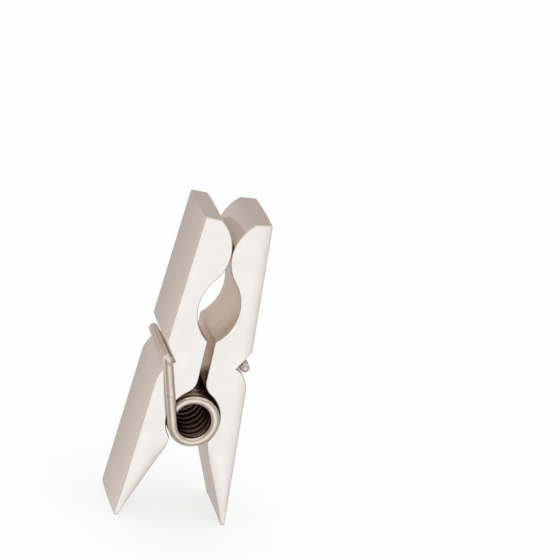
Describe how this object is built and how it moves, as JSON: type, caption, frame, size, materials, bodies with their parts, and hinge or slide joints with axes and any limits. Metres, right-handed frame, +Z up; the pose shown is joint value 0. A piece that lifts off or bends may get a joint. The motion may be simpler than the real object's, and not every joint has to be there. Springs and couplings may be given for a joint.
{
  "type": "spring clothespin",
  "caption": "Metal spring clothespin: two solid lever legs with round jaws and a line hole, closed by a wound wire torsion spring hooked over their outer notches.",
  "frame": {"origin": "on the floor under the middle of the closed pin, which stands on its two handle tips", "axes": "+Z up along the pin towards the jaws, +X from the left leg to the right leg, +Y from the front face to the back face"},
  "size_m": [0.0274, 0.0228, 0.0758],
  "materials": {
    "leg_metal": "polished faces with softly eased edges",
    "spring_wire": "bright nickel-plated spring wire"
  },
  "bodies": {
    "left_leg": {"left_leg": "leg_metal", "spring_coil": "spring_wire", "spring_front_arm": "spring_wire"},
    "right_leg": {"right_leg": "leg_metal", "spring_back_arm": "spring_wire"}
  },
  "joints": [
    {"name": "jaw_pivot", "type": "hinge", "parent": "left_leg", "child": "right_leg", "pos_m": [0, 0, 0.0263], "axis": [0, 1, 0], "range_deg": [0, 48], "stiffness_Nm_per_rad": 1, "springref_deg": -20.05, "deforming": ["spring_coil"]}
  ]
}
